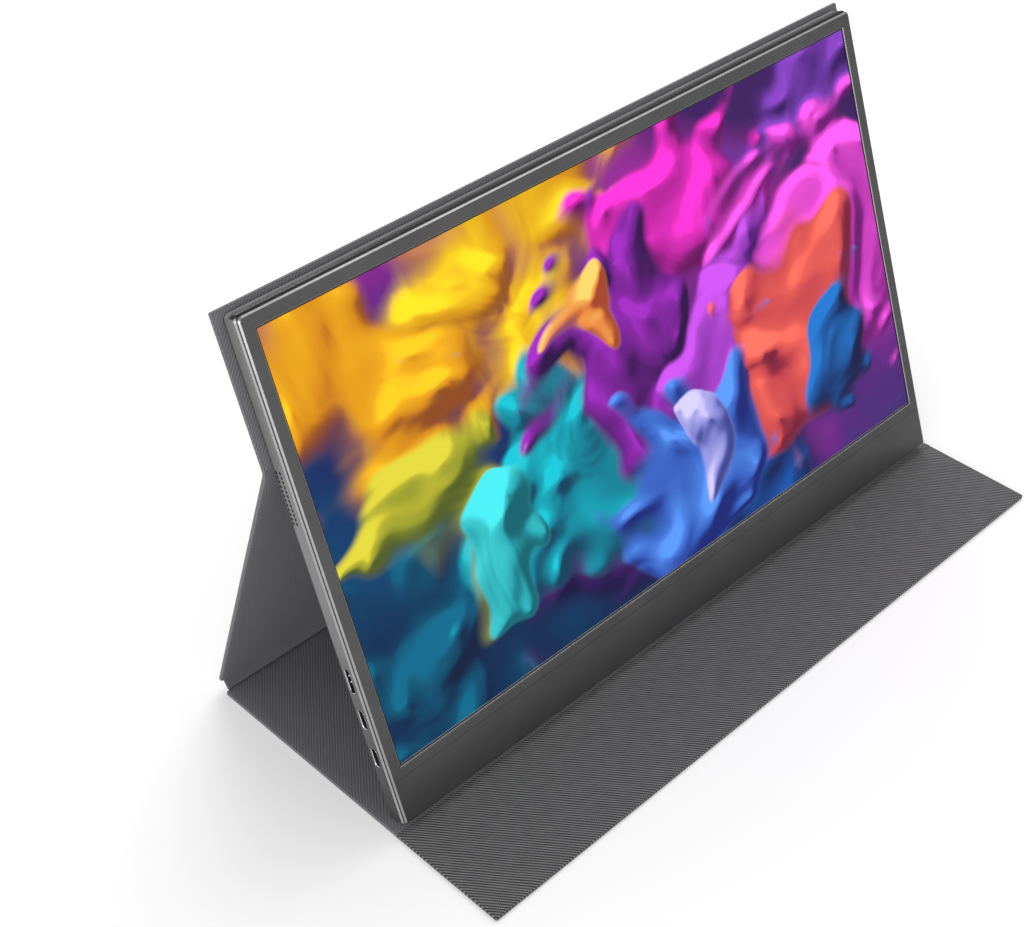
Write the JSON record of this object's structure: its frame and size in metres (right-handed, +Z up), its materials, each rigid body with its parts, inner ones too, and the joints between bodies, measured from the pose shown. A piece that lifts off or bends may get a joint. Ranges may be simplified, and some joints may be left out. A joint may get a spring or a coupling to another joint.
{
  "type": "portable monitor with cover",
  "caption": "Slim portable monitor with a thin metal rim, propped at a tilt by the folding fabric cover bonded to its back, with a flat base and a front flap.",
  "frame": {"origin": "middle of the footprint on the desk, halfway between the front flap's edge and the rear fold", "axes": "+X to the screen's right along the folds, +Y from the front flap to the rear, +Z up"},
  "size_m": [0.366, 0.1776, 0.2183],
  "materials": {
    "shell_metal": "satin anodised dark grey",
    "frame_metal": "fine satin anodised, darker on the front face",
    "key_metal": "satin anodised dark grey",
    "outer_fabric": "fine dark grey twill with a raised diagonal rib",
    "lining_fabric": "fine dark grey twill",
    "stiffener": "raw pressed board",
    "display_glass": "glossy front polariser over the lit picture",
    "optical_plastic": "clear polished",
    "white_film": "white",
    "black_foam": "closed-cell foam",
    "bare_steel": "rolled",
    "black_steel": "blackened fine mesh",
    "circuit_board": "green solder resist",
    "black_plastic": "moulded",
    "ribbon": "amber polyimide",
    "lead_red": "soft insulated wire",
    "bond_film": "double-sided adhesive film"
  },
  "bodies": {
    "base": {"base_fabric": "outer_fabric", "base_board": "stiffener", "base_lining": "lining_fabric", "base_magnets": "bare_steel"},
    "flap": {"flap_fabric": "outer_fabric", "flap_board": "stiffener", "flap_lining": "lining_fabric", "flap_magnets": "bare_steel"},
    "strip": {"strip_fabric": "outer_fabric", "strip_lining": "lining_fabric"},
    "leg": {"leg_fabric": "outer_fabric", "leg_board": "stiffener", "leg_lining": "lining_fabric"},
    "monitor": {"rear_shell": "shell_metal", "front_frame": "frame_metal", "chin_strip": "frame_metal", "screen_gasket": "black_foam", "lcd_cell": "display_glass", "film_stack": "optical_plastic", "light_guide": "optical_plastic", "reflector_sheet": "white_film", "panel_tray": "bare_steel", "led_bar": "circuit_board", "panel_board": "circuit_board", "panel_flexes": "ribbon", "display_cable": "ribbon", "main_board": "circuit_board", "board_chips": "black_plastic", "shield_can": "bare_steel", "mini_hdmi_socket": "bare_steel", "usb_c_socket_upper": "bare_steel", "usb_c_socket_lower": "bare_steel", "side_board": "circuit_board", "side_ribbon": "white_film", "tact_switches": "bare_steel", "headphone_jack": "black_plastic", "key_bracket": "bare_steel", "rocker_pin": "bare_steel", "speaker_left": "black_plastic", "speaker_right": "black_plastic", "speaker_cones": "black_plastic", "speaker_meshes": "black_steel", "speaker_leads": "lead_red", "board_screws": "bare_steel", "foot_magnets": "bare_steel", "bond_sheet": "bond_film", "upper_fabric": "outer_fabric", "upper_board": "stiffener", "upper_lining": "lining_fabric"},
    "power_button": {"power_button": "key_metal"},
    "menu_rocker": {"menu_rocker": "key_metal"}
  },
  "joints": [
    {"name": "flap_fold", "type": "hinge", "parent": "base", "child": "flap", "pos_m": [0, -0.03165, 0.0022], "axis": [-1, 0, 0], "range_deg": [0, 86]},
    {"name": "base_fold", "type": "hinge", "parent": "base", "child": "strip", "pos_m": [0, 0.08485, 0], "axis": [-1, 0, 0], "range_deg": [0, 53.4]},
    {"name": "leg_fold", "type": "hinge", "parent": "strip", "child": "leg", "pos_m": [0, 0.08915, 0.00578], "axis": [-1, 0, 0], "range_deg": [0, 56.36]},
    {"name": "upper_fold", "type": "hinge", "parent": "leg", "child": "monitor", "pos_m": [0, 0.03562, 0.15476], "axis": [1, 0, 0], "range_deg": [0, 39.81]},
    {"name": "power_press", "type": "slide", "parent": "monitor", "child": "power_button", "axis": [-1, 0, 0], "range_m": [0, 0.00035], "stiffness_N_per_m": 800},
    {"name": "menu_rock", "type": "hinge", "parent": "monitor", "child": "menu_rocker", "pos_m": [0.1766, 0.00052, 0.07666], "axis": [0, -0.9394, 0.3428], "range_deg": [-2.5, 2.5], "stiffness_Nm_per_rad": 0.08}
  ],
  "couplings": [
    {"joint": "base_fold", "follows": "leg_fold", "ratio": 0.94744},
    {"joint": "upper_fold", "follows": "leg_fold", "ratio": 0.70632}
  ]
}
